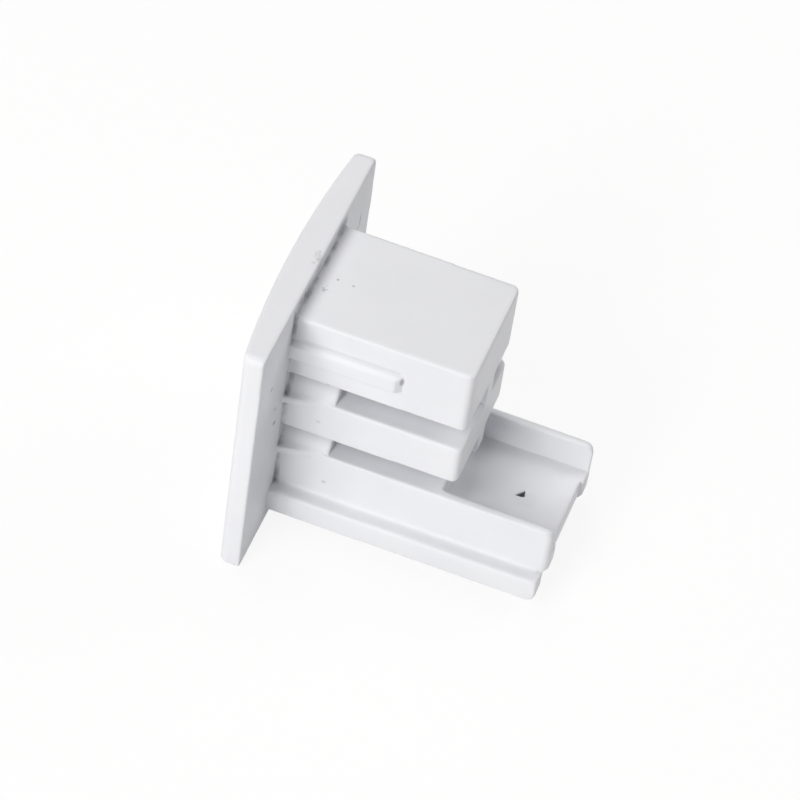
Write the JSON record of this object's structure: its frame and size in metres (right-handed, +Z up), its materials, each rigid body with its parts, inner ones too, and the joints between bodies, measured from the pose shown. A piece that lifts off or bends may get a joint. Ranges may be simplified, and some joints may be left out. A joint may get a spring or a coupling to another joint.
{
  "type": "track end cap",
  "caption": "White moulded end cap for a lighting track: a bowed end plate with a stepped, slotted plug, side ribs, an open tray and lower rails.",
  "frame": {"origin": "on the plate's flat seat face, at the middle of the plate's lower edge", "axes": "+X from the plate along the plug into the track, +Y across the plate, +Z up from the rails to the head"},
  "size_m": [0.0377, 0.036, 0.0357],
  "materials": {
    "white_plastic": "satin moulded"
  },
  "bodies": {
    "root": {"end_cap": "white_plastic"}
  },
  "joints": []
}
